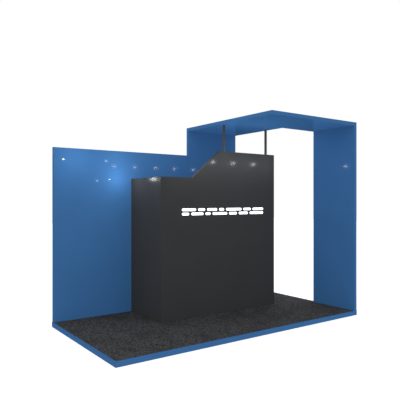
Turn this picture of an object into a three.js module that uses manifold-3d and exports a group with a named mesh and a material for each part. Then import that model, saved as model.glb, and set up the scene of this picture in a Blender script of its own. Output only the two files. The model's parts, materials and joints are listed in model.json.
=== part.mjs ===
// An exhibition stand: a carpeted platform, a blue back wall that rises into a portal, and a
// charcoal partition block with a sloping shoulder and a backlit sign, which encloses a closet.
// Millimetres. +X runs along the front from left to right, +Y towards the back, +Z is up.
// The origin is on the ground, under the middle of the platform.

import * as THREE from 'three';
import { mergeVertices } from 'three/addons/utils/BufferGeometryUtils.js';
import Module from 'manifold-3d';

const wasm = await Module();
wasm.setup();

// ---- Driving dimensions ----

const LENGTH = 4000;
const DEPTH = 2000;
const FASCIA = 6;
const MODULES = 4;
const JOIST_HEIGHT = 44;
const JOIST_WIDTH = 38;
const DECK = 18;
const CARPET = 5;
const FLOOR = JOIST_HEIGHT + DECK + CARPET;

const PANEL = 50;
const SKIN = 6;
const STUD = 38;
const BAY = 380;
const RAIL_SPACING = 1000;
const WALL_TOP = 2470;

const PORTAL_LEFT = 230;
const PORTAL_RIGHT = 1230;
const HEADER_BOTTOM = 2869;
const HEADER = 52;
const END_PANEL_DEPTH = 806;

const BLOCK_LEFT = -809;
const BLOCK_RIGHT = 1317;
const BLOCK_FRONT = 81;
const SHOULDER_TOP = 2065;
const SHOULDER_RIGHT = -280;
const SLOPE_RIGHT = 201;

const POST = 30;
const POST_WALL = 2;
const POST_END_PLATE = 4;
const POST_BOLT_RADIUS = 5.5;
const POST_INSET = 75;

const JAMB = 60;
const STOP_WIDTH = 12;
const STOP_DEPTH = 10;
const DOOR = 40;
const DOOR_SKIN = 4;
const DOOR_GAP = 3;
const DOOR_UNDERCUT = 10;
const DOORWAY_TOP = 2070;
const DOOR_STILE = 70;

const HINGE_LENGTH = 90;
const HINGE_PLATE = 1.2;
const HINGE_PLATE_DEPTH = 30;
const KNUCKLE_RADIUS = 6;
const KNUCKLE_GAP = 0.5;
const HINGE_PIN_RADIUS = 2.5;
const HINGE_BORE_RADIUS = 2.8;
const HINGE_NECK_GAP = 0.2;
const HINGE_OFFSET = 6.5;
const HINGE_HEIGHTS = [290, 1070, 1850];

const LOCK_HEIGHT = 1040;
const LOCK_BACKSET = 32;
const LOCK_RADIUS = 9.5;
const LOCK_FLANGE_RADIUS = 13;
const LOCK_FLANGE = 2.5;
const LOCK_BORE_RADIUS = 6.3;
const LOCK_PLUG_RADIUS = 6;
const LOCK_TAIL_RADIUS = 4;
const LOCK_HEAD = 2.5;
const LOCK_PLAY = 0.5;
const LOCK_CLEARANCE = 0.3;
const KEYWAY_WIDTH = 2;
const KEYWAY_HEIGHT = 8;
const KEYWAY_DEPTH = 7.5;
const CAM_LENGTH = 45;
const CAM_WIDTH = 16;
const CAM_THICKNESS = 2.5;
const CAM_GAP = 1;

const PULL_LENGTH = 180;
const PULL_HEIGHT = 1220;
const PULL_STANDOFF = 45;
const PULL_RADIUS = 7;
const PULL_BEND = 16;

const SIGN_LEFT = -465;
const SIGN_BOTTOM = 1527;
const SIGN_BAR_HEIGHT = 36;
const SIGN_BAR_SPACE = 40;
const SIGN_ROW_SPACE = 24;
const SIGN_ROWS = [
  [120, 210, 90, 270, 150, 180, 279],
  [240, 120, 180, 90, 300, 150, 219],
];
const SIGN_MARGIN = 35;
const SIGN_PROUD = 3;
const SIGN_CLEARANCE = 0.5;
const SIGN_PLATE = 4;
const LIGHT_BOX_WALL = 3;
const LED_BOARD = 3;
const DRIVER_LENGTH = 240;
const DRIVER_DEPTH = 40;
const DRIVER_BOTTOM = 1330;
const DRIVER_TOP = 1390;
const GLAND_RADIUS = 8;
const GLAND_LENGTH = 15;

const CATCH_INSET = 120;
const CATCH_WIDTH = 44;
const CATCH_DEPTH = 16;
const CATCH_RISE = 8;
const CATCH_DROP = 42;
const CATCH_STEP = 2;
const CATCH_PLATE = 1.5;
const CATCH_GAP = 0.5;

// How far a cutting tool reaches past what it cuts, and how finely curves are divided.
const OVERCUT = 1;
const ROUND_SIDES = 24;
const SIGN_ARC_PIECES = 8;
const PULL_PIECES = 28;
const PULL_SIDES = 6;

// ---- Places that follow from them ----

const LEFT = -LENGTH / 2;
const RIGHT = LENGTH / 2;
const FRONT = -DEPTH / 2;
const BACK = DEPTH / 2;
const BODY_LEFT = LEFT + FASCIA;
const BODY_RIGHT = RIGHT - FASCIA;
const WALL_FACE = BACK - PANEL;
const END_PANEL_BACK = FRONT + END_PANEL_DEPTH;
const BLOCK_INSIDE = BLOCK_FRONT + PANEL;
const DOOR_WALL_INSIDE = BLOCK_RIGHT - PANEL;
const DOORWAY_FRONT = BLOCK_INSIDE + JAMB;
const DOORWAY_BACK = WALL_FACE - JAMB;
const DOOR_FRONT = DOORWAY_FRONT + DOOR_GAP;
const DOOR_BACK = DOORWAY_BACK - DOOR_GAP;
const DOOR_INSIDE = BLOCK_RIGHT - DOOR;
const DOOR_BOTTOM = FLOOR + DOOR_UNDERCUT;
const DOOR_TOP = DOORWAY_TOP - DOOR_GAP;
const HINGE_X = BLOCK_RIGHT + HINGE_OFFSET;
const HINGE_Y = (DOOR_BACK + DOORWAY_BACK) / 2;
const LOCK_Y = DOOR_FRONT + LOCK_BACKSET;

// ---- Finishes ----

const finish = (color, roughness, metalness = 0) =>
  new THREE.MeshStandardMaterial({ color, roughness, metalness });

const BLUE = finish(0x366294, 0.35);
const CHARCOAL = finish(0x3c3d3f, 0.4);
const GREY_BOARD = finish(0x8f9194, 0.7);
const TIMBER = finish(0xc9a26b, 0.7);
const PLYWOOD = finish(0xb98f5c, 0.7);
const CARPET_PILE = finish(0x3b3c40, 1);
const DARK_STEEL = finish(0x3f4044, 0.45, 0.6);
const BRIGHT_STEEL = finish(0xa9abad, 0.3, 1);
const ALUMINIUM = finish(0xb9bbbe, 0.4, 1);
const OPAL = finish(0xffffff, 0.5);
const CIRCUIT = finish(0xe8ebe8, 0.6);
const BLACK_PLASTIC = finish(0x1b1c1e, 0.5);

const stand = new THREE.Group();

function place(name, geometry, material, group = stand) {
  const mesh = new THREE.Mesh(geometry, material);
  mesh.name = name;
  group.add(mesh);
  return mesh;
}

// ---- Solids ----

function block([x0, y0, z0], [x1, y1, z1]) {
  const box = new THREE.BoxGeometry(x1 - x0, y1 - y0, z1 - z0);
  return box.translate((x0 + x1) / 2, (y0 + y1) / 2, (z0 + z1) / 2);
}

function extrude(outline, depth, from = 0) {
  const shape = outline instanceof THREE.Shape ? outline : new THREE.Shape(outline);
  const options = { depth, bevelEnabled: false, curveSegments: SIGN_ARC_PIECES };
  return new THREE.ExtrudeGeometry(shape, options).translate(0, 0, from);
}

// A round bar between two heights on an upright axis.
function uprightRound(radius, x, y, z0, z1) {
  const bar = new THREE.CylinderGeometry(radius, radius, z1 - z0, ROUND_SIDES);
  return bar.rotateX(Math.PI / 2).translate(x, y, (z0 + z1) / 2);
}

// A round bar along X, through (y, z).
function crossRound(radius, y, z, x0, x1) {
  const bar = new THREE.CylinderGeometry(radius, radius, x1 - x0, ROUND_SIDES);
  return bar.rotateZ(Math.PI / 2).translate((x0 + x1) / 2, y, z);
}

function solid(geometry) {
  const bare = geometry.clone();
  bare.deleteAttribute('normal');
  bare.deleteAttribute('uv');
  const merged = mergeVertices(bare, 1e-4);
  return new wasm.Manifold(new wasm.Mesh({
    numProp: 3,
    vertProperties: merged.attributes.position.array,
    triVerts: Uint32Array.from(merged.index.array),
  }));
}

function geometryOf(body) {
  const { vertProperties, triVerts } = body.getMesh();
  const geometry = new THREE.BufferGeometry();
  geometry.setAttribute('position', new THREE.BufferAttribute(vertProperties, 3));
  geometry.setIndex(new THREE.BufferAttribute(triVerts, 1));
  geometry.computeVertexNormals();
  return geometry;
}

function join(...geometries) {
  const body = geometries.map(solid).reduce((sum, next) => sum.add(next));
  return geometryOf(body);
}

function cut(geometry, ...holes) {
  const body = holes.map(solid).reduce((rest, hole) => rest.subtract(hole), solid(geometry));
  return geometryOf(body);
}

// ---- Wall panels ----
// Each panel is a cover folded round its edges, a timber frame inside it and a board that closes
// the back. In a panel's own frame X runs along its width, Y up it and Z out of its face.

const FACING = {
  front: new THREE.Euler(Math.PI / 2, 0, 0),
  left: new THREE.Euler(Math.PI / 2, 0, -Math.PI / 2, 'ZYX'),
  down: new THREE.Euler(Math.PI, 0, 0),
};

const points = (corners) => corners.map(([x, y]) => new THREE.Vector2(x, y));
const rectangle = (width, height) => points([[0, 0], [width, 0], [width, height], [0, height]]);

// The outline with every edge moved inwards; its corners run counter-clockwise.
function inset(outline, distance) {
  const inward = (a, b) => new THREE.Vector2(a.y - b.y, b.x - a.x).normalize();
  return outline.map((corner, i) => {
    const before = inward(outline.at(i - 1), corner);
    const after = inward(corner, outline[(i + 1) % outline.length]);
    const share = distance / (1 + before.dot(after));
    return corner.clone().addScaledVector(before.add(after), share);
  });
}

// Middles of the members that divide a span into bays no wider than the spacing.
function divisions(span, spacing) {
  const bays = Math.ceil(span / spacing);
  return Array.from({ length: bays - 1 }, (_, i) => Math.round((span * (i + 1)) / bays));
}

function timberFrame(outline, thickness) {
  const outer = solid(extrude(inset(outline, SKIN), thickness - 2 * SKIN, SKIN));
  const hollow = solid(extrude(inset(outline, SKIN + STUD), thickness - 2 * SKIN, SKIN));
  const width = Math.max(...outline.map((corner) => corner.x));
  const height = Math.max(...outline.map((corner) => corner.y));
  const half = STUD / 2;
  const studs = divisions(width, BAY).map((x) =>
    solid(block([x - half, 0, 0], [x + half, height, thickness])));
  const rails = divisions(height, RAIL_SPACING).map((y) =>
    solid(block([0, y - half, 0], [width, y + half, thickness])));
  const members = [...studs, ...rails].map((member) => member.intersect(hollow));
  return members.reduce((frame, member) => frame.add(member), outer.subtract(hollow));
}

function panel({ name, outline, at, facing, material, backing = material, thickness = PANEL }) {
  const group = new THREE.Group();
  group.position.set(...at);
  group.rotation.copy(FACING[facing]);
  stand.add(group);
  const inside = inset(outline, SKIN);
  const cover = cut(extrude(outline, thickness), extrude(inside, thickness - SKIN));
  return {
    cover: place(`${name}_cover`, cover, material, group),
    frame: place(`${name}_frame`, geometryOf(timberFrame(outline, thickness)), TIMBER, group),
    board: place(`${name}_back_board`, extrude(inside, SKIN), backing, group),
  };
}

// ---- Platform ----

function platformFrame(left, width) {
  const front = FRONT + FASCIA;
  const back = BACK - FASCIA;
  const depth = back - front;
  const half = JOIST_WIDTH / 2;
  const outer = block([left, front, 0], [left + width, back, JOIST_HEIGHT]);
  const middle = left + width / 2;
  const rows = [0, ...divisions(depth, BAY), depth];
  const bays = rows.slice(1).flatMap((row, i) => {
    const y0 = front + rows[i] + (i === 0 ? JOIST_WIDTH : half);
    const y1 = front + row - (row === depth ? JOIST_WIDTH : half);
    return [
      block([left + JOIST_WIDTH, y0, 0], [middle - half, y1, JOIST_HEIGHT]),
      block([middle + half, y0, 0], [left + width - JOIST_WIDTH, y1, JOIST_HEIGHT]),
    ];
  });
  return cut(outer, ...bays);
}

function platform() {
  const front = FRONT + FASCIA;
  const back = BACK - FASCIA;
  const width = (BODY_RIGHT - BODY_LEFT) / MODULES;
  const deckTop = JOIST_HEIGHT + DECK;
  for (let i = 0; i < MODULES; i += 1) {
    const left = BODY_LEFT + i * width;
    place(`platform_frame_${i + 1}`, platformFrame(left, width), TIMBER);
    const deck = block([left, front, JOIST_HEIGHT], [left + width, back, deckTop]);
    place(`deck_board_${i + 1}`, deck, PLYWOOD);
  }
  place('carpet', block([BODY_LEFT, front, deckTop], [BODY_RIGHT, back, FLOOR]), CARPET_PILE);
  place('front_fascia', block([LEFT, FRONT, 0], [RIGHT, front, FLOOR]), BLUE);
  place('rear_fascia', block([LEFT, back, 0], [RIGHT, BACK, FLOOR]), BLUE);
  place('left_fascia', block([LEFT, front, 0], [BODY_LEFT, back, FLOOR]), BLUE);
  place('right_fascia', block([BODY_RIGHT, front, 0], [RIGHT, back, FLOOR]), BLUE);
}

// ---- Back wall and portal ----

function backWallAndPortal() {
  panel({
    name: 'back_wall',
    outline: rectangle(PORTAL_LEFT - BODY_LEFT, WALL_TOP - FLOOR),
    at: [BODY_LEFT, BACK, FLOOR],
    facing: 'front',
    material: BLUE,
  });
  panel({
    name: 'portal_column',
    outline: rectangle(PORTAL_RIGHT - PORTAL_LEFT, HEADER_BOTTOM - FLOOR),
    at: [PORTAL_LEFT, BACK, FLOOR],
    facing: 'front',
    material: BLUE,
  });
  panel({
    name: 'end_panel',
    outline: rectangle(END_PANEL_DEPTH, HEADER_BOTTOM - FLOOR),
    at: [BODY_RIGHT, END_PANEL_BACK, FLOOR],
    facing: 'left',
    material: BLUE,
  });
  panel({
    name: 'side_header',
    outline: rectangle(PORTAL_RIGHT - PORTAL_LEFT, DEPTH),
    at: [PORTAL_LEFT, BACK, HEADER_BOTTOM + HEADER],
    facing: 'down',
    material: BLUE,
    thickness: HEADER,
  });
  panel({
    name: 'front_header',
    outline: rectangle(BODY_RIGHT - PORTAL_RIGHT, END_PANEL_DEPTH),
    at: [PORTAL_RIGHT, END_PANEL_BACK, HEADER_BOTTOM + HEADER],
    facing: 'down',
    material: BLUE,
    thickness: HEADER,
  });
  const filler = block([PORTAL_RIGHT, WALL_FACE, FLOOR], [BLOCK_RIGHT, BACK, WALL_TOP]);
  place('closet_rear_filler', filler, BLUE);
}

// A square tube closed at both ends but for the hole of its bolt.
function headerPost(name, x) {
  const y = BLOCK_FRONT + PANEL / 2;
  const half = POST / 2;
  const inner = half - POST_WALL;
  const tube = block([x - half, y - half, WALL_TOP], [x + half, y + half, HEADER_BOTTOM]);
  const hollow = block(
    [x - inner, y - inner, WALL_TOP + POST_END_PLATE],
    [x + inner, y + inner, HEADER_BOTTOM - POST_END_PLATE],
  );
  const holeTop = HEADER_BOTTOM + OVERCUT;
  const boltHole = uprightRound(POST_BOLT_RADIUS, x, y, WALL_TOP - OVERCUT, holeTop);
  place(name, cut(tube, hollow, boltHole), DARK_STEEL);
}

// ---- Backlit sign ----
// Opal bars stand through slots in the block's front, in front of a light box.

// Every bar as a shape with round ends, grown by the given amount.
function signBars(grow) {
  return SIGN_ROWS.flatMap((lengths, row) => {
    const radius = SIGN_BAR_HEIGHT / 2;
    const y = SIGN_BOTTOM + radius + row * (SIGN_BAR_HEIGHT + SIGN_ROW_SPACE);
    let left = SIGN_LEFT;
    return lengths.map((length) => {
      const bar = new THREE.Shape();
      bar.absarc(left + length - radius, y, radius + grow, -Math.PI / 2, Math.PI / 2);
      bar.absarc(left + radius, y, radius + grow, Math.PI / 2, (3 * Math.PI) / 2);
      left += length + SIGN_BAR_SPACE;
      return bar;
    });
  });
}

// The light box's rectangle in the plane of the block's front: left, bottom, right, top.
function lightBoxEdges() {
  const spaces = SIGN_BAR_SPACE * (SIGN_ROWS[0].length - 1);
  const length = SIGN_ROWS[0].reduce((sum, bar) => sum + bar, spaces);
  const height = 2 * SIGN_BAR_HEIGHT + SIGN_ROW_SPACE;
  return {
    left: SIGN_LEFT - SIGN_MARGIN,
    bottom: SIGN_BOTTOM - SIGN_MARGIN,
    right: SIGN_LEFT + length + SIGN_MARGIN,
    top: SIGN_BOTTOM + height + SIGN_MARGIN,
  };
}

// A box given in X, Z and its distance behind the block's front face.
function behindFront({ left, bottom, right, top }, near, far, margin = 0) {
  return block(
    [left + margin, BLOCK_FRONT + near, bottom + margin],
    [right - margin, BLOCK_FRONT + far, top - margin],
  );
}

function sign() {
  const edges = lightBoxEdges();
  const boxFront = SKIN + SIGN_PLATE;
  const boxBack = PANEL - SKIN;
  const bars = signBars(0).map((bar) =>
    extrude(bar, SKIN + SIGN_PROUD).rotateX(Math.PI / 2).translate(0, BLOCK_FRONT + SKIN, 0));
  place('sign_diffuser', join(behindFront(edges, SKIN, boxFront), ...bars), OPAL);
  const hollow = behindFront(edges, boxFront, boxBack - LIGHT_BOX_WALL, LIGHT_BOX_WALL);
  place('sign_light_box', cut(behindFront(edges, boxFront, boxBack), hollow), ALUMINIUM);
  const boardBack = boxBack - LIGHT_BOX_WALL;
  const board = behindFront(edges, boardBack - LED_BOARD, boardBack, LIGHT_BOX_WALL);
  place('sign_led_board', board, CIRCUIT);
  place('sign_driver', signDriver((edges.left + edges.right) / 2), BLACK_PLASTIC);
}

// The sign's power supply on the block's inner face, with a cable gland at one end.
function signDriver(middle) {
  const left = middle - DRIVER_LENGTH / 2;
  const right = middle + DRIVER_LENGTH / 2;
  const back = BLOCK_INSIDE + DRIVER_DEPTH;
  const y = (BLOCK_INSIDE + back) / 2;
  const z = (DRIVER_BOTTOM + DRIVER_TOP) / 2;
  return join(
    block([left, BLOCK_INSIDE, DRIVER_BOTTOM], [right, back, DRIVER_TOP]),
    crossRound(GLAND_RADIUS, y, z, middle, right + GLAND_LENGTH),
  );
}

// ---- Partition block ----

function partitionBlock() {
  const front = panel({
    name: 'block_front',
    outline: points([
      [0, 0],
      [BLOCK_RIGHT - BLOCK_LEFT, 0],
      [BLOCK_RIGHT - BLOCK_LEFT, WALL_TOP - FLOOR],
      [SLOPE_RIGHT - BLOCK_LEFT, WALL_TOP - FLOOR],
      [SHOULDER_RIGHT - BLOCK_LEFT, SHOULDER_TOP - FLOOR],
      [0, SHOULDER_TOP - FLOOR],
    ]),
    at: [BLOCK_LEFT, BLOCK_INSIDE, FLOOR],
    facing: 'front',
    material: CHARCOAL,
    backing: GREY_BOARD,
  });
  const slots = signBars(SIGN_CLEARANCE).map((bar) =>
    extrude(bar, PANEL).translate(-BLOCK_LEFT, -FLOOR, 0));
  front.cover.geometry = cut(front.cover.geometry, ...slots);
  const edges = lightBoxEdges();
  const lightBoxSpace = block(
    [edges.left - BLOCK_LEFT, edges.bottom - FLOOR, 0],
    [edges.right - BLOCK_LEFT, edges.top - FLOOR, PANEL],
  );
  front.frame.geometry = cut(front.frame.geometry, lightBoxSpace);
  panel({
    name: 'block_side',
    outline: rectangle(WALL_FACE - BLOCK_INSIDE, SHOULDER_TOP - FLOOR),
    at: [BLOCK_LEFT + PANEL, WALL_FACE, FLOOR],
    facing: 'left',
    material: CHARCOAL,
    backing: GREY_BOARD,
  });
}

// ---- Closet doorway and door ----

function doorway() {
  const stopRight = DOOR_WALL_INSIDE + STOP_DEPTH;
  const frontStop = DOORWAY_FRONT + STOP_WIDTH;
  const backStop = DOORWAY_BACK - STOP_WIDTH;
  place('door_jamb_front', join(
    block([DOOR_WALL_INSIDE, BLOCK_INSIDE, FLOOR], [BLOCK_RIGHT, DOORWAY_FRONT, WALL_TOP]),
    block([DOOR_WALL_INSIDE, DOORWAY_FRONT, FLOOR], [stopRight, frontStop, DOORWAY_TOP]),
  ), CHARCOAL);
  place('door_jamb_back', join(
    block([DOOR_WALL_INSIDE, DOORWAY_BACK, FLOOR], [BLOCK_RIGHT, WALL_FACE, WALL_TOP]),
    block([DOOR_WALL_INSIDE, backStop, FLOOR], [stopRight, DOORWAY_BACK, DOORWAY_TOP]),
  ), CHARCOAL);
  place('door_head', join(
    block([DOOR_WALL_INSIDE, DOORWAY_FRONT, DOORWAY_TOP], [BLOCK_RIGHT, DOORWAY_BACK, WALL_TOP]),
    block(
      [DOOR_WALL_INSIDE, frontStop, DOORWAY_TOP - STOP_WIDTH],
      [stopRight, backStop, DOORWAY_TOP],
    ),
  ), CHARCOAL);
}

// The door's timber core: stiles, rails and a solid block round the lock.
function doorCore(x0, x1) {
  const inner = [DOOR_FRONT + DOOR_STILE, DOOR_BACK - DOOR_STILE];
  const rows = [0, ...divisions(DOOR_TOP - DOOR_BOTTOM, BAY), DOOR_TOP - DOOR_BOTTOM];
  const bays = rows.slice(1).map((row, i) => {
    const z0 = DOOR_BOTTOM + rows[i] + STUD;
    const z1 = DOOR_BOTTOM + row - STUD;
    return block([x0, inner[0], z0], [x1, inner[1], z1]);
  });
  return cut(block([x0, DOOR_FRONT, DOOR_BOTTOM], [x1, DOOR_BACK, DOOR_TOP]), ...bays);
}

function door() {
  const [holeLeft, holeRight] = [DOOR_INSIDE - OVERCUT, BLOCK_RIGHT + OVERCUT];
  const lockHole = crossRound(LOCK_RADIUS, LOCK_Y, LOCK_HEIGHT, holeLeft, holeRight);
  const coreInside = DOOR_INSIDE + DOOR_SKIN;
  const coreOutside = BLOCK_RIGHT - DOOR_SKIN;
  const skin = (x0, x1) =>
    cut(block([x0, DOOR_FRONT, DOOR_BOTTOM], [x1, DOOR_BACK, DOOR_TOP]), lockHole);
  place('door_core', cut(doorCore(coreInside, coreOutside), lockHole), TIMBER);
  place('door_outer_skin', skin(coreOutside, BLOCK_RIGHT), CHARCOAL);
  place('door_inner_skin', skin(DOOR_INSIDE, coreInside), GREY_BOARD);
}

// A butt hinge: the frame's half carries two knuckles and the pin, the door's half one knuckle.
function hinge(number, middle) {
  const bottom = middle - HINGE_LENGTH / 2;
  const top = middle + HINGE_LENGTH / 2;
  const knuckle = HINGE_LENGTH / 3;
  const lower = bottom + knuckle;
  const upper = top - knuckle;
  const plateLeft = BLOCK_RIGHT - HINGE_PLATE_DEPTH;
  const neckRight = HINGE_X - HINGE_BORE_RADIUS - HINGE_NECK_GAP;
  const framePlate = [DOORWAY_BACK - HINGE_PLATE, DOORWAY_BACK];
  const doorPlate = [DOOR_BACK, DOOR_BACK + HINGE_PLATE];
  const plate = ([y0, y1], x1, z0, z1) => block([plateLeft, y0, z0], [x1, y1, z1]);
  place(`hinge_${number}_frame_leaf`, join(
    plate(framePlate, BLOCK_RIGHT, bottom, top),
    plate(framePlate, neckRight, bottom, lower - KNUCKLE_GAP),
    plate(framePlate, neckRight, upper + KNUCKLE_GAP, top),
    uprightRound(KNUCKLE_RADIUS, HINGE_X, HINGE_Y, bottom, lower - KNUCKLE_GAP),
    uprightRound(KNUCKLE_RADIUS, HINGE_X, HINGE_Y, upper + KNUCKLE_GAP, top),
    uprightRound(HINGE_PIN_RADIUS, HINGE_X, HINGE_Y, bottom, top),
  ), BRIGHT_STEEL);
  place(`hinge_${number}_door_leaf`, cut(
    join(
      plate(doorPlate, BLOCK_RIGHT, bottom, top),
      plate(doorPlate, neckRight, lower, upper),
      uprightRound(KNUCKLE_RADIUS, HINGE_X, HINGE_Y, lower, upper),
    ),
    uprightRound(HINGE_BORE_RADIUS, HINGE_X, HINGE_Y, lower - OVERCUT, upper + OVERCUT),
  ), BRIGHT_STEEL);
}

// A cam lock: the plug turns in the barrel and swings the cam behind the front jamb.
function camLock() {
  const camRight = DOOR_WALL_INSIDE - CAM_GAP;
  const camLeft = camRight - CAM_THICKNESS;
  const headRight = camLeft - LOCK_PLAY;
  const headLeft = headRight - LOCK_HEAD;
  const flangeRight = BLOCK_RIGHT + LOCK_FLANGE;
  const plugRight = flangeRight - LOCK_PLAY;
  const round = (radius, x0, x1) => crossRound(radius, LOCK_Y, LOCK_HEIGHT, x0, x1);
  place('lock_barrel', cut(
    join(
      round(LOCK_RADIUS - LOCK_CLEARANCE, DOOR_WALL_INSIDE + LOCK_PLAY, flangeRight),
      round(LOCK_FLANGE_RADIUS, BLOCK_RIGHT, flangeRight),
    ),
    round(LOCK_BORE_RADIUS, DOOR_WALL_INSIDE - OVERCUT, flangeRight + OVERCUT),
  ), BRIGHT_STEEL);
  const keyway = block(
    [plugRight - KEYWAY_DEPTH, LOCK_Y - KEYWAY_WIDTH / 2, LOCK_HEIGHT - KEYWAY_HEIGHT / 2],
    [plugRight + OVERCUT, LOCK_Y + KEYWAY_WIDTH / 2, LOCK_HEIGHT + KEYWAY_HEIGHT / 2],
  );
  place('lock_plug', cut(
    join(
      round(LOCK_PLUG_RADIUS, camRight + LOCK_PLAY, plugRight),
      round(LOCK_TAIL_RADIUS, headLeft, plugRight),
      round(LOCK_PLUG_RADIUS, headLeft, headRight),
    ),
    keyway,
  ), BRIGHT_STEEL);
  const cam = block(
    [camLeft, LOCK_Y - CAM_WIDTH / 2, LOCK_HEIGHT - CAM_LENGTH],
    [camRight, LOCK_Y + CAM_WIDTH / 2, LOCK_HEIGHT],
  );
  place('lock_cam', cut(
    join(cam, round(CAM_WIDTH / 2, camLeft, camRight)),
    round(LOCK_TAIL_RADIUS + LOCK_CLEARANCE, camLeft - OVERCUT, camRight + OVERCUT),
  ), BRIGHT_STEEL);
}

// A bar handle bent at both ends to meet the door.
function doorPull() {
  const x0 = BLOCK_RIGHT;
  const x1 = BLOCK_RIGHT + PULL_STANDOFF;
  const z0 = PULL_HEIGHT - PULL_LENGTH / 2;
  const z1 = PULL_HEIGHT + PULL_LENGTH / 2;
  const at = (x, z) => new THREE.Vector3(x, LOCK_Y, z);
  const bend = (start, corner, end) => new THREE.QuadraticBezierCurve3(start, corner, end);
  const path = new THREE.CurvePath();
  path.add(new THREE.LineCurve3(at(x0, z0), at(x1 - PULL_BEND, z0)));
  path.add(bend(at(x1 - PULL_BEND, z0), at(x1, z0), at(x1, z0 + PULL_BEND)));
  path.add(new THREE.LineCurve3(at(x1, z0 + PULL_BEND), at(x1, z1 - PULL_BEND)));
  path.add(bend(at(x1, z1 - PULL_BEND), at(x1, z1), at(x1 - PULL_BEND, z1)));
  path.add(new THREE.LineCurve3(at(x1 - PULL_BEND, z1), at(x0, z1)));
  const section = new THREE.Shape().absarc(0, 0, PULL_RADIUS, 0, 2 * Math.PI);
  const options = {
    steps: PULL_PIECES,
    extrudePath: path,
    curveSegments: PULL_SIDES,
    bevelEnabled: false,
  };
  place('door_pull', new THREE.ExtrudeGeometry(section, options), BRIGHT_STEEL);
}

// A magnetic catch under the doorway's head and its steel plate on the door.
function doorCatch() {
  const middle = DOORWAY_FRONT + CATCH_INSET;
  const half = CATCH_WIDTH / 2;
  const bottom = DOORWAY_TOP - CATCH_DROP;
  const top = DOORWAY_TOP - STOP_WIDTH;
  const back = DOOR_WALL_INSIDE - CATCH_DEPTH;
  const plateLeft = DOOR_INSIDE - CATCH_PLATE;
  // A block that stays within the catch's front by a margin on every side.
  const within = (margin, x0, x1) => block(
    [x0, middle - half + margin, bottom + margin],
    [x1, middle + half - margin, top - margin],
  );
  const body = block(
    [back, middle - half, bottom],
    [DOOR_WALL_INSIDE, middle + half, DOORWAY_TOP + CATCH_RISE],
  );
  const pole = within(CATCH_STEP, back, plateLeft - CATCH_GAP);
  place('catch_magnet', join(body, pole), BLACK_PLASTIC);
  place('catch_plate', within(2 * CATCH_STEP, plateLeft, DOOR_INSIDE), BRIGHT_STEEL);
}

platform();
backWallAndPortal();
partitionBlock();
headerPost('header_post_left', PORTAL_LEFT + POST_INSET);
headerPost('header_post_right', PORTAL_RIGHT - POST_INSET);
sign();
doorway();
door();
HINGE_HEIGHTS.forEach((height, i) => hinge(i + 1, height));
camLock();
doorPull();
doorCatch();

export default stand;
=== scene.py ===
"""Looks, light and camera for the exhibition stand. Metres, in the part's own frame."""

import json
import math

import bmesh
import bpy
from mathutils import Matrix, Vector, noise


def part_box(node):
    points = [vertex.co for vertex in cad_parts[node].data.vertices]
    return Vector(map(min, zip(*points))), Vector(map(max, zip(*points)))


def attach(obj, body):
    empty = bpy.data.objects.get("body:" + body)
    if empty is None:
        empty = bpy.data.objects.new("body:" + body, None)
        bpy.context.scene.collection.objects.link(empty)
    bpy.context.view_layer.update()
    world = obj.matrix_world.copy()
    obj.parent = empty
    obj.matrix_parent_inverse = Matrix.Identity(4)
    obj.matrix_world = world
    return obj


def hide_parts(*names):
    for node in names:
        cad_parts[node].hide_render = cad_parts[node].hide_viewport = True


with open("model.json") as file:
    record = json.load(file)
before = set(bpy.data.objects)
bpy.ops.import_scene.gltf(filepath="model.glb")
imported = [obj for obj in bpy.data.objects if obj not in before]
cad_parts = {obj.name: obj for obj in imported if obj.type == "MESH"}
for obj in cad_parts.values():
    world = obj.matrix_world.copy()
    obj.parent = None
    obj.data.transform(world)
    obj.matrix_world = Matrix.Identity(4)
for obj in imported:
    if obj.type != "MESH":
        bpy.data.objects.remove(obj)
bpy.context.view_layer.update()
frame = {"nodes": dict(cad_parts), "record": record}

# ---- Camera and light ----

CAMERA_PLACE = (-4.196, -5.588, 1.744)
CAMERA_HEADING = (0.5805, 0.8142, 0.0)
CAMERA_LENS = 43.456
SENSOR = 36.0

BACKDROP = 1.0
FILL_ABOVE = 0.97
FILL_BELOW = 0.60
HORIZON_BLUR = 0.1
OVERHEAD = 0.9
OVERHEAD_FROM = 0.3
OVERHEAD_TO = 0.6
FLOOR_SIZE = 60.0
FLOOR_GLOW = 0.5

# Small lamps close to the walls: place, power in watts and radius.
ROW_HEIGHT = 2.33
ROW_DISTANCE = -0.21
ROW_PLACES = (-0.54, -0.14, 0.30, 0.70, 1.13)
ROW_LAMPS = [((x, ROW_DISTANCE, ROW_HEIGHT), 2.6, 0.004) for x in ROW_PLACES]
WALL_LAMPS = [
    ((-1.73, 0.60, 2.34), 3.2, 0.003),
    ((-1.06, 0.60, 2.345), 2.15, 0.003),
    ((-1.06, 0.725, 2.058), 2.1, 0.003),
    ((-1.06, 0.25, 2.056), 1.3, 0.003),
]

# Even light without shadows: the way it travels and its strength.
FILL_LIGHTS = [
    ((0, 1, 0), 0.56),
    ((1, 0, 0), 0.53),
    ((0, 0, 1), 1.3),
]

# ---- Colours, linear ----

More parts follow.
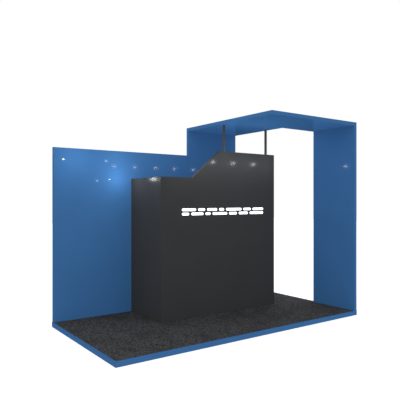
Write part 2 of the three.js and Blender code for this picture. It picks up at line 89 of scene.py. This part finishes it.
BLUE = (0.040, 0.130, 0.310)
CHARCOAL = (0.0375, 0.0388, 0.0408)
CARPET_DARK = (0.0045, 0.0047, 0.005)
CARPET_LIGHT = (0.087, 0.088, 0.093)
LOOPS_PER_METRE = 78.0
GREY_BOARD = (0.27, 0.28, 0.30)
PINE_LIGHT = (0.62, 0.42, 0.22)
PINE_DARK = (0.42, 0.24, 0.10)
BIRCH_LIGHT = (0.58, 0.41, 0.24)
BIRCH_DARK = (0.40, 0.25, 0.12)
POST_GREY = (0.052, 0.053, 0.056)
STEEL = (0.58, 0.58, 0.59)
ALUMINIUM = (0.62, 0.63, 0.64)
METALLIC = 0.7
OPAL = (0.9, 0.9, 0.92)
OPAL_GLOW = (0.94, 0.95, 1.0)
SIGN_GLOW = 1.6
SOLDER_MASK = (0.8, 0.82, 0.8)
GOLD = (0.75, 0.55, 0.2)
BLACK = (0.012, 0.012, 0.013)
FLOOR_WHITE = (0.8, 0.8, 0.8)


def add_camera():
    data = bpy.data.cameras.new("camera")
    data.sensor_width = SENSOR
    data.lens = CAMERA_LENS
    camera = bpy.data.objects.new("camera", data)
    camera.location = CAMERA_PLACE
    camera.rotation_mode = "QUATERNION"
    camera.rotation_quaternion = Vector(CAMERA_HEADING).to_track_quat("-Z", "Y")
    bpy.context.scene.collection.objects.link(camera)
    bpy.context.scene.camera = camera


def add_backdrop():
    """A white backdrop to the camera, an even fill, and to glossy surfaces only light from overhead."""
    world = bpy.data.worlds.new("studio")
    world.use_nodes = True
    tree = world.node_tree
    tree.nodes.clear()
    way = tree.nodes.new("ShaderNodeTexCoord")
    split = tree.nodes.new("ShaderNodeSeparateXYZ")
    tree.links.new(way.outputs["Generated"], split.inputs[0])

    def shade(strength):
        node = tree.nodes.new("ShaderNodeBackground")
        node.inputs["Color"].default_value = (1, 1, 1, 1)
        node.inputs["Strength"].default_value = strength
        return node.outputs[0]

    def mixed(share, first, second):
        node = tree.nodes.new("ShaderNodeMixShader")
        for socket, output in enumerate((share, first, second)):
            tree.links.new(output, node.inputs[socket])
        return node.outputs[0]

    def rising(start, end):
        node = tree.nodes.new("ShaderNodeMapRange")
        node.inputs["From Min"].default_value = start
        node.inputs["From Max"].default_value = end
        tree.links.new(split.outputs["Z"], node.inputs["Value"])
        return node.outputs["Result"]

    rays = tree.nodes.new("ShaderNodeLightPath")
    fill = mixed(rising(-HORIZON_BLUR, HORIZON_BLUR), shade(FILL_BELOW), shade(FILL_ABOVE))
    mirrored = mixed(rising(OVERHEAD_FROM, OVERHEAD_TO), shade(0.0), shade(OVERHEAD))
    matt = mixed(rays.outputs["Is Glossy Ray"], fill, mirrored)
    light = mixed(rays.outputs["Is Camera Ray"], matt, shade(BACKDROP))
    out = tree.nodes.new("ShaderNodeOutputWorld")
    tree.links.new(light, out.inputs["Surface"])
    bpy.context.scene.world = world


def add_floor():
    mesh = bpy.data.meshes.new("studio_floor")
    body = bmesh.new()
    bmesh.ops.create_grid(body, x_segments=1, y_segments=1, size=FLOOR_SIZE / 2)
    body.to_mesh(mesh)
    body.free()
    floor = bpy.data.objects.new("studio_floor", mesh)
    floor.visible_glossy = False
    floor.visible_diffuse = False
    floor.visible_shadow = False
    bpy.context.scene.collection.objects.link(floor)
    material = bpy.data.materials.new("studio_floor")
    material.use_nodes = True
    shader = material.node_tree.nodes["Principled BSDF"]
    shader.inputs["Base Color"].default_value = (*FLOOR_WHITE, 1)
    shader.inputs["Roughness"].default_value = 1.0
    shader.inputs["Specular IOR Level"].default_value = 0.0
    shader.inputs["Emission Color"].default_value = (1, 1, 1, 1)
    shader.inputs["Emission Strength"].default_value = FLOOR_GLOW
    mesh.materials.append(material)


def add_lamps():
    """Small lamps, whose mirror images are the dots on the walls; nothing blocks the row's light."""
    for number, (place, power, radius) in enumerate(ROW_LAMPS + WALL_LAMPS, 1):
        data = bpy.data.lights.new(f"lamp_{number}", "POINT")
        data.energy = power
        data.shadow_soft_size = radius
        data.use_shadow = number > len(ROW_LAMPS)
        data.cycles.use_multiple_importance_sampling = False
        lamp = bpy.data.objects.new(f"lamp_{number}", data)
        lamp.location = place
        lamp.visible_camera = False
        bpy.context.scene.collection.objects.link(lamp)


def add_fill_lights():
    for number, (way, strength) in enumerate(FILL_LIGHTS, 1):
        data = bpy.data.lights.new(f"fill_{number}", "SUN")
        data.energy = strength
        data.use_shadow = False
        fill = bpy.data.objects.new(f"fill_{number}", data)
        fill.rotation_mode = "QUATERNION"
        fill.rotation_quaternion = Vector(way).to_track_quat("-Z", "Y")
        fill.visible_glossy = False
        bpy.context.scene.collection.objects.link(fill)


# ---- Materials ----

# The sockets of a mix node that are used for colours.
SHARE_IN, FIRST_IN, SECOND_IN = 0, 6, 7
MIXED_OUT = 2


class Finish:
    """One procedural material, with short calls for the nodes that it is made of."""

    def __init__(self, name, roughness, metallic=0.0, specular=0.5):
        self.material = bpy.data.materials.new(name)
        self.material.use_nodes = True
        self.tree = self.material.node_tree
        self.shader = self.tree.nodes["Principled BSDF"]
        self.set("Roughness", roughness)
        self.set("Metallic", metallic)
        self.set("Specular IOR Level", specular)
        self.place = self.tree.nodes.new("ShaderNodeTexCoord").outputs["Object"]

    def set(self, socket, value):
        self.shader.inputs[socket].default_value = value

    def feed(self, socket, output):
        self.tree.links.new(output, self.shader.inputs[socket])

    def stretched(self, stretch):
        """The object's coordinates, scaled along each axis."""
        node = self.tree.nodes.new("ShaderNodeMapping")
        node.inputs["Scale"].default_value = stretch
        self.tree.links.new(self.place, node.inputs["Vector"])
        return node.outputs["Vector"]

    def noise(self, scale, detail=2.0, stretch=None, distortion=0.0, roughness=0.5):
        node = self.tree.nodes.new("ShaderNodeTexNoise")
        node.inputs["Scale"].default_value = scale
        node.inputs["Detail"].default_value = detail
        node.inputs["Roughness"].default_value = roughness
        node.inputs["Distortion"].default_value = distortion
        place = self.stretched(stretch) if stretch else self.place
        self.tree.links.new(place, node.inputs["Vector"])
        return node.outputs["Fac"]

    def cells(self, scale, output="Distance"):
        node = self.tree.nodes.new("ShaderNodeTexVoronoi")
        node.inputs["Scale"].default_value = scale
        self.tree.links.new(self.place, node.inputs["Vector"])
        return node.outputs[output]

    def spread(self, value, low, high, start=0.3, end=0.7):
        """The value, from start to end, mapped onto low to high."""
        node = self.tree.nodes.new("ShaderNodeMapRange")
        node.inputs["From Min"].default_value = start
        node.inputs["From Max"].default_value = end
        node.inputs["To Min"].default_value = low
        node.inputs["To Max"].default_value = high
        self.tree.links.new(value, node.inputs["Value"])
        return node.outputs["Result"]

    def blend(self, share, first, second, mode="MIX"):
        """A colour between two others; each may be a colour or another node's output."""
        node = self.tree.nodes.new("ShaderNodeMix")
        node.data_type = "RGBA"
        node.blend_type = mode
        for socket, value in ((SHARE_IN, share), (FIRST_IN, first), (SECOND_IN, second)):
            if isinstance(value, bpy.types.NodeSocket):
                self.tree.links.new(value, node.inputs[socket])
            elif isinstance(value, tuple):
                node.inputs[socket].default_value = (*value, 1)
            else:
                node.inputs[socket].default_value = value
        return node.outputs[MIXED_OUT]

    def between(self, value, first, second):
        """Two colours, mixed as the value rises."""
        return self.blend(self.spread(value, 0.0, 1.0), first, second)

    def relief(self, height, depth, strength=1.0, under=None):
        """A bump of the given depth in metres, on top of another bump if one is given."""
        node = self.tree.nodes.new("ShaderNodeBump")
        node.inputs["Strength"].default_value = strength
        node.inputs["Distance"].default_value = depth
        self.tree.links.new(height, node.inputs["Height"])
        if under:
            self.tree.links.new(under, node.inputs["Normal"])
        return node.outputs["Normal"]


def scaled(color, factor):
    return tuple(channel * factor for channel in color)


def laminate(name, color, roughness, specular):
    """Satin laminate: faint pressed texture, faint mottling and wiped patches."""
    finish = Finish(name, roughness, specular=specular)
    mottle = finish.noise(2.2, 3.0)
    grain = finish.noise(420.0, 2.0)
    shade = finish.between(mottle, scaled(color, 0.97), scaled(color, 1.03))
    finish.feed("Base Color", finish.blend(finish.spread(grain, 0.0, 0.1), shade, scaled(color, 1.35)))
    wiped = finish.noise(5.0, 4.0, stretch=(1.0, 1.0, 0.35))
    finish.feed("Roughness", finish.spread(wiped, roughness - 0.01, roughness + 0.01))
    finish.feed("Normal", finish.relief(grain, 0.00003, 0.06))
    return finish.material


def carpet_pile():
    """Looped pile, each loop of its own grey, with painted shade between the loops and darker worn
    patches.
    """
    finish = Finish("carpet_pile", 1.0, specular=0.1)
    loops = finish.cells(LOOPS_PER_METRE)
    shades = finish.cells(LOOPS_PER_METRE, "Color")
    fibres = finish.noise(420.0, 3.0, roughness=0.7)
    patches = finish.noise(3.6, 2.0)
    yarn = finish.blend(finish.spread(shades, 0.0, 1.0, 0.28, 0.72), CARPET_DARK, CARPET_LIGHT)
    fuzzy = finish.blend(finish.spread(fibres, 0.3, 0.0, 0.35, 0.6), yarn, scaled(CARPET_DARK, 0.6))
    # Painted shade: the colour is darkened in the gaps between the loops, where shade falls.
    loops_shaded_between = finish.blend(finish.spread(loops, 0.0, 0.5, 0.35, 0.8), fuzzy, scaled(CARPET_DARK, 0.4))
    worn = finish.blend(finish.spread(patches, 0.0, 0.4, 0.5, 0.66), loops_shaded_between, scaled(CARPET_DARK, 0.7))
    finish.feed("Base Color", worn)
    finish.set("Sheen Weight", 0.05)
    finish.set("Sheen Roughness", 0.6)
    rounded = finish.relief(finish.spread(loops, 1.0, 0.0, 0.0, 0.9), 0.003, 0.6)
    finish.feed("Normal", finish.relief(fibres, 0.0008, 0.6, under=rounded))
    return finish.material


def grey_board():
    finish = Finish("grey_board", 0.55, specular=0.35)
    fibres = finish.noise(900.0, 3.0, stretch=(1.0, 1.0, 0.4))
    flecks = finish.cells(260.0)
    base = finish.between(fibres, scaled(GREY_BOARD, 0.9), scaled(GREY_BOARD, 1.08))
    flecked = finish.blend(finish.spread(flecks, 0.35, 0.0, 0.0, 0.3), base, scaled(GREY_BOARD, 0.6))
    finish.feed("Base Color", flecked)
    finish.feed("Normal", finish.relief(fibres, 0.00005, 0.4))
    return finish.material


def wood(name, light, dark, along, roughness):
    """Plain-sawn wood with its grain along one axis."""
    finish = Finish(name, roughness, specular=0.3)
    stretch = tuple(0.06 if axis == along else 1.0 for axis in range(3))
    rings = finish.noise(26.0, 5.0, stretch=stretch, distortion=1.2)
    pores = finish.noise(520.0, 2.0, stretch=stretch)
    grain = finish.between(rings, dark, light)
    porous = finish.blend(finish.spread(pores, 0.35, 0.0, 0.3, 0.5), grain, scaled(dark, 0.55))
    finish.feed("Base Color", porous)
    finish.feed("Roughness", finish.spread(rings, roughness + 0.08, roughness - 0.06))
    finish.feed("Normal", finish.relief(pores, 0.0002, 0.5))
    return finish.material


def powder_coat():
    finish = Finish("dark_steel", 0.42, specular=0.4)
    pebbles = finish.noise(1400.0, 2.0)
    finish.feed("Base Color", finish.between(pebbles, scaled(POST_GREY, 0.88), scaled(POST_GREY, 1.12)))
    finish.feed("Normal", finish.relief(pebbles, 0.00005, 0.5))
    return finish.material


def metal(name, color, along, roughness):
    """Brushed metal with its scratches along one axis."""
    finish = Finish(name, roughness, metallic=METALLIC)
    stretch = tuple(0.03 if axis == along else 1.0 for axis in range(3))
    scratches = finish.noise(1800.0, 3.0, stretch=stretch)
    finish.feed("Base Color", finish.between(scratches, scaled(color, 0.9), scaled(color, 1.06)))
    finish.feed("Roughness", finish.spread(scratches, roughness - 0.06, roughness + 0.08))
    finish.feed("Normal", finish.relief(scratches, 0.00003, 0.4))
    return finish.material


def opal_acrylic():
    finish = Finish("opal_acrylic", 0.25)
    haze = finish.noise(35.0, 2.0)
    finish.feed("Base Color", finish.between(haze, scaled(OPAL, 0.98), OPAL))
    finish.set("Emission Color", (*OPAL_GLOW, 1))
    finish.set("Emission Strength", SIGN_GLOW)
    return finish.material


def circuit_board():
    finish = Finish("circuit_board", 0.5)
    pads = finish.cells(60.0)
    finish.feed("Base Color", finish.blend(finish.spread(pads, 1.0, 0.0, 0.05, 0.12), SOLDER_MASK, GOLD))
    return finish.material


def black_plastic():
    finish = Finish("black_plastic", 0.45)
    texture = finish.noise(1600.0, 2.0)
    finish.feed("Base Color", finish.between(texture, scaled(BLACK, 0.8), scaled(BLACK, 1.3)))
    finish.feed("Normal", finish.relief(texture, 0.00004, 0.5))
    return finish.material


X_AXIS, Y_AXIS, Z_AXIS = range(3)

# One material for each slot that the record names.
MATERIALS = {
    "blue_laminate": laminate("blue_laminate", BLUE, roughness=0.11, specular=0.03),
    "charcoal_laminate": laminate("charcoal_laminate", CHARCOAL, roughness=0.22, specular=0.05),
    "grey_board": grey_board(),
    "timber": wood("timber", PINE_LIGHT, PINE_DARK, Z_AXIS, roughness=0.6),
    "plywood": wood("plywood", BIRCH_LIGHT, BIRCH_DARK, X_AXIS, roughness=0.55),
    "carpet_pile": carpet_pile(),
    "dark_steel": powder_coat(),
    "bright_steel": metal("bright_steel", STEEL, Z_AXIS, roughness=0.3),
    "aluminium_sheet": metal("aluminium_sheet", ALUMINIUM, X_AXIS, roughness=0.35),
    "opal_acrylic": opal_acrylic(),
    "circuit_board": circuit_board(),
    "black_plastic": black_plastic(),
}

SLOTS = {part["node"]: part["material_slot"] for part in frame["record"]["subparts"]}


def finish_cad_nodes():
    for name, node in frame["nodes"].items():
        node.data.materials.clear()
        node.data.materials.append(MATERIALS[SLOTS[name]])


# ---- Pieces ----

# Vertices closer than this are one; faces bent less than FLAT are one; SHARP edges get rounded.
WELD = 1e-6
FLAT = math.radians(0.5)
SHARP = math.radians(40)

# How much the edges are rounded, by material.
EDGE_RADIUS = {
    "blue_laminate": 0.0008,
    "charcoal_laminate": 0.0008,
    "grey_board": 0.0006,
    "timber": 0.002,
    "plywood": 0.0008,
    "dark_steel": 0.0025,
    "bright_steel": 0.0002,
    "aluminium_sheet": 0.0005,
    "opal_acrylic": 0.0008,
    "circuit_board": 0.0003,
    "black_plastic": 0.0015,
}
EDGE_SEGMENTS = 2
# On the posts only edges longer than this are rounded, not the ends and the bolt holes.
LONG_EDGE = 0.1

# The carpet: its grid's step, how far the pile sinks, and its unevenness.
CARPET_STEP = 0.0125
TUFT_DEPTH = 0.0009
TUFTS_PER_METRE = 55
WAVES_PER_METRE = 3
WAVE_SHARE = 0.4
TUCKED_EDGE = 0.0015

SCREW_RADIUS = 0.0045
SCREW_HEIGHT = 0.0018
SCREW_SPACING = 0.42
SCREW_INSET = 0.02
SCREW_SIDES = 32
# Outline of a head and of its cross recess: shares of the head's radius and of its height.
HEAD_OUTLINE = ((1.0, 0.0), (1.0, 0.4), (0.86, 0.85), (0.66, 1.0))
CROSS_LENGTH = 0.55
CROSS_WIDTH = 0.13
CROSS_TAPER = 0.8
CROSS_FLOOR = 0.35
HINGE_SCREW_RADIUS = 0.0034
HINGE_SCREW_HEIGHT = 0.00018
# Each screw: its share of the leaf's length, and how far it is from the leaf's inner edge.
HINGE_SCREWS = ((0.15, 0.0085), (0.5, 0.02), (0.85, 0.0085))
HINGE_PLATE = 0.0012
DOOR_GAP = 0.003

# Boards fixed by screws, and the axis along which their outer face looks.
SCREWED_BOARDS = (
    ("back_wall_back_board", Y_AXIS),
    ("portal_column_back_board", Y_AXIS),
    ("end_panel_back_board", X_AXIS),
    ("side_header_back_board", Z_AXIS),
    ("front_header_back_board", Z_AXIS),
    ("block_side_back_board", X_AXIS),
)

PULL_RADIUS = 0.007
PULL_BEND = 0.018
PULL_SIDES = 28
BEND_STEPS = 10

BODY_OF = {
    node: body for body, nodes in frame["record"]["behaviour"]["bodies"].items() for node in nodes
}


def add_piece(name, body, rides_on, slot, replaced=()):
    """A mesh as a piece of the object: smooth but for its sharp edges."""
    bmesh.ops.recalc_face_normals(body, faces=body.faces)
    for face in body.faces:
        face.smooth = True
    for edge in body.edges:
        edge.smooth = edge.is_manifold and edge.calc_face_angle() < SHARP
    mesh = bpy.data.meshes.new(name)
    body.to_mesh(mesh)
    body.free()
    mesh.materials.append(MATERIALS[slot])
    piece = bpy.data.objects.new(name, mesh)
    bpy.context.scene.collection.objects.link(piece)
    normals = piece.modifiers.new("normals", "WEIGHTED_NORMAL")
    normals.keep_sharp = True
    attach(piece, rides_on)
    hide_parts(*replaced)
    return piece


def eased(node):
    """A CAD node's shape with its sharp edges rounded."""
    slot = SLOTS[node]
    body = bmesh.new()
    body.from_mesh(frame["nodes"][node].data)
    bmesh.ops.remove_doubles(body, verts=body.verts, dist=WELD)
    bmesh.ops.dissolve_limit(body, angle_limit=FLAT, verts=body.verts, edges=body.edges)
    shortest = LONG_EDGE if slot == "dark_steel" else 0.0
    sharp = [
        edge for edge in body.edges
        if edge.is_manifold and edge.calc_face_angle() > SHARP and edge.calc_length() > shortest
    ]
    bmesh.ops.bevel(
        body, geom=sharp, offset=EDGE_RADIUS[slot], offset_type="OFFSET",
        segments=EDGE_SEGMENTS, profile=0.5, affect="EDGES", clamp_overlap=True,
    )
    return add_piece(f"{node}_eased", body, BODY_OF[node], slot, [node])


def carpet():
    """Looped carpet, laid wall to wall on the deck, its edges tucked against the fascias."""
    low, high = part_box("carpet")
    size = high - low
    middle = (low + high) / 2
    body = bmesh.new()
    # A grid one unit wide, which the loop below spreads over the carpet's size.
    bmesh.ops.create_grid(
        body, size=0.5,
        x_segments=round(size.x / CARPET_STEP),
        y_segments=round(size.y / CARPET_STEP),
    )
    for vertex in body.verts:
        tucked = TUCKED_EDGE if vertex.is_boundary else 0.0
        place = Vector((middle.x + vertex.co.x * size.x, middle.y + vertex.co.y * size.y, 0.0))
        tufts = noise.noise(place * TUFTS_PER_METRE)
        waves = WAVE_SHARE * noise.noise(place * WAVES_PER_METRE)
        sunk = min(max(0.5 + 0.5 * (tufts + waves), 0.0), 1.0)
        place.z = high.z - tucked - TUFT_DEPTH * sunk
        vertex.co = place
    rim = [edge for edge in body.edges if edge.is_boundary]
    sides = bmesh.ops.extrude_edge_only(body, edges=rim)["geom"]
    for vertex in (item for item in sides if isinstance(item, bmesh.types.BMVert)):
        vertex.co.z = low.z
    under = [edge for edge in body.edges if edge.is_boundary]
    bmesh.ops.contextual_create(body, geom=under)
    piece = add_piece("carpet_laid", body, BODY_OF["carpet"], "carpet_pile", ["carpet"])


def ring(body, at, corners):
    """New vertices at the corners, moved and turned by a matrix."""
    return [body.verts.new(at @ Vector(corner)) for corner in corners]


def bridge(body, lower, upper):
    """Faces between two rings with the same number of vertices."""
    for i, corner in enumerate(lower):
        after = (i + 1) % len(lower)
        body.faces.new((corner, lower[after], upper[after], upper[i]))


def cross_edge(angle, length, width):
    """How far the edge of a cross is from its middle at an angle."""
    folded = (angle + math.pi / 4) % (math.pi / 2) - math.pi / 4
    across = abs(math.sin(folded))
    return min(length / math.cos(folded), width / across if across > 0.01 else length)


def screw_head(body, place, out, radius, height):
    """A low rounded head with a cross recess, facing out."""
    at = Matrix.Translation(place) @ Vector(out).to_track_quat("Z", "Y").to_matrix().to_4x4()
    angles = [2 * math.pi * i / SCREW_SIDES for i in range(SCREW_SIDES)]
    cross = [cross_edge(angle, CROSS_LENGTH * radius, CROSS_WIDTH * radius) for angle in angles]

    def level(radii, z):
        return ring(body, at, [
            (r * math.cos(angle), r * math.sin(angle), z) for r, angle in zip(radii, angles)
        ])

    levels = [level([share * radius] * SCREW_SIDES, rise * height) for share, rise in HEAD_OUTLINE]
    levels.append(level(cross, height))
    levels.append(level([CROSS_TAPER * r for r in cross], CROSS_FLOOR * height))
    for lower, upper in zip(levels, levels[1:]):
        bridge(body, lower, upper)
    body.faces.new(reversed(levels[0]))
    body.faces.new(levels[-1])


def along(start, end, spacing):
    """Evenly spaced places from start to end, both included."""
    steps = max(1, round((end - start) / spacing))
    return [start + (end - start) * i / steps for i in range(steps + 1)]


def board_screws(board, axis):
    """Screws round the edge of a board that closes a panel's back."""
    low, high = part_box(board)
    across, up = [i for i in range(3) if i != axis]
    edges = [(low[i] + SCREW_INSET, high[i] - SCREW_INSET) for i in (across, up)]
    rows = [along(*edge, SCREW_SPACING) for edge in edges]
    places = [(a, b) for a in rows[0] for b in edges[1]]
    places += [(a, b) for a in edges[0] for b in rows[1][1:-1]]
    out = [0.0, 0.0, 0.0]
    out[axis] = 1.0
    body = bmesh.new()
    for a, b in places:
        place = Vector((0.0, 0.0, 0.0))
        place[axis], place[across], place[up] = high[axis], a, b
        screw_head(body, place, out, SCREW_RADIUS, SCREW_HEIGHT)
    add_piece(f"{board}_screws", body, BODY_OF[board], "bright_steel")


def hinge_screws(leaf, y, out):
    """Three countersunk screws in a hinge leaf."""
    low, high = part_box(leaf)
    body = bmesh.new()
    for share, inset in HINGE_SCREWS:
        place = Vector((low.x + inset, y, low.z + share * (high.z - low.z)))
        screw_head(body, place, out, HINGE_SCREW_RADIUS, HINGE_SCREW_HEIGHT)
    add_piece(f"{leaf}_screws", body, BODY_OF[leaf], "bright_steel")


def pull_path(low, high):
    """The middle line of the pull, as x and z: out from the door, up, and back to the door."""
    x = high.x - PULL_RADIUS - PULL_BEND
    bottom = low.z + PULL_RADIUS
    top = high.z - PULL_RADIUS
    quarter = [math.pi / 2 * i / BEND_STEPS for i in range(BEND_STEPS + 1)]
    bends = [(math.sin(a) * PULL_BEND, math.cos(a) * PULL_BEND) for a in quarter]
    lower = [(x + across, bottom + PULL_BEND - down) for across, down in bends]
    upper = [(x + across, top - PULL_BEND + rise) for across, rise in reversed(bends)]
    return [(low.x, bottom), *lower, *upper, (low.x, top)]


def door_pull():
    """A round bar bent at both ends to meet the door."""
    low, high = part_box("door_pull")
    y = (low.y + high.y) / 2
    path = pull_path(low, high)
    body = bmesh.new()
    sections = []
    angles = [2 * math.pi * k / PULL_SIDES for k in range(PULL_SIDES)]
    corners = [(PULL_RADIUS * math.cos(a), PULL_RADIUS * math.sin(a), 0) for a in angles]
    side = Vector((0, 1, 0))
    for i, (x, z) in enumerate(path):
        before, after = path[max(i - 1, 0)], path[min(i + 1, len(path) - 1)]
        way = Vector((after[0] - before[0], 0, after[1] - before[1])).normalized()
        turned = Matrix((way.cross(side), side, way)).transposed().to_4x4()
        sections.append(ring(body, Matrix.Translation((x, y, z)) @ turned, corners))
    for lower, upper in zip(sections, sections[1:]):
        bridge(body, lower, upper)
    body.faces.new(reversed(sections[0]))
    body.faces.new(sections[-1])
    add_piece("door_pull_bar", body, BODY_OF["door_pull"], "bright_steel", ["door_pull"])


def add_pieces():
    for node in frame["nodes"]:
        if node not in ("carpet", "door_pull"):
            eased(node)
    carpet()
    door_pull()
    for board, axis in SCREWED_BOARDS:
        board_screws(board, axis)
    door_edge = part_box("door_core")[1].y
    for number in (1, 2, 3):
        hinge_screws(f"hinge_{number}_door_leaf", door_edge + HINGE_PLATE, (0, 1, 0))
        frame_face = door_edge + DOOR_GAP - HINGE_PLATE
        hinge_screws(f"hinge_{number}_frame_leaf", frame_face, (0, -1, 0))


add_camera()
add_backdrop()
add_floor()
add_lamps()
add_fill_lights()
finish_cad_nodes()
add_pieces()
bpy.context.scene.view_settings.view_transform = "Standard"
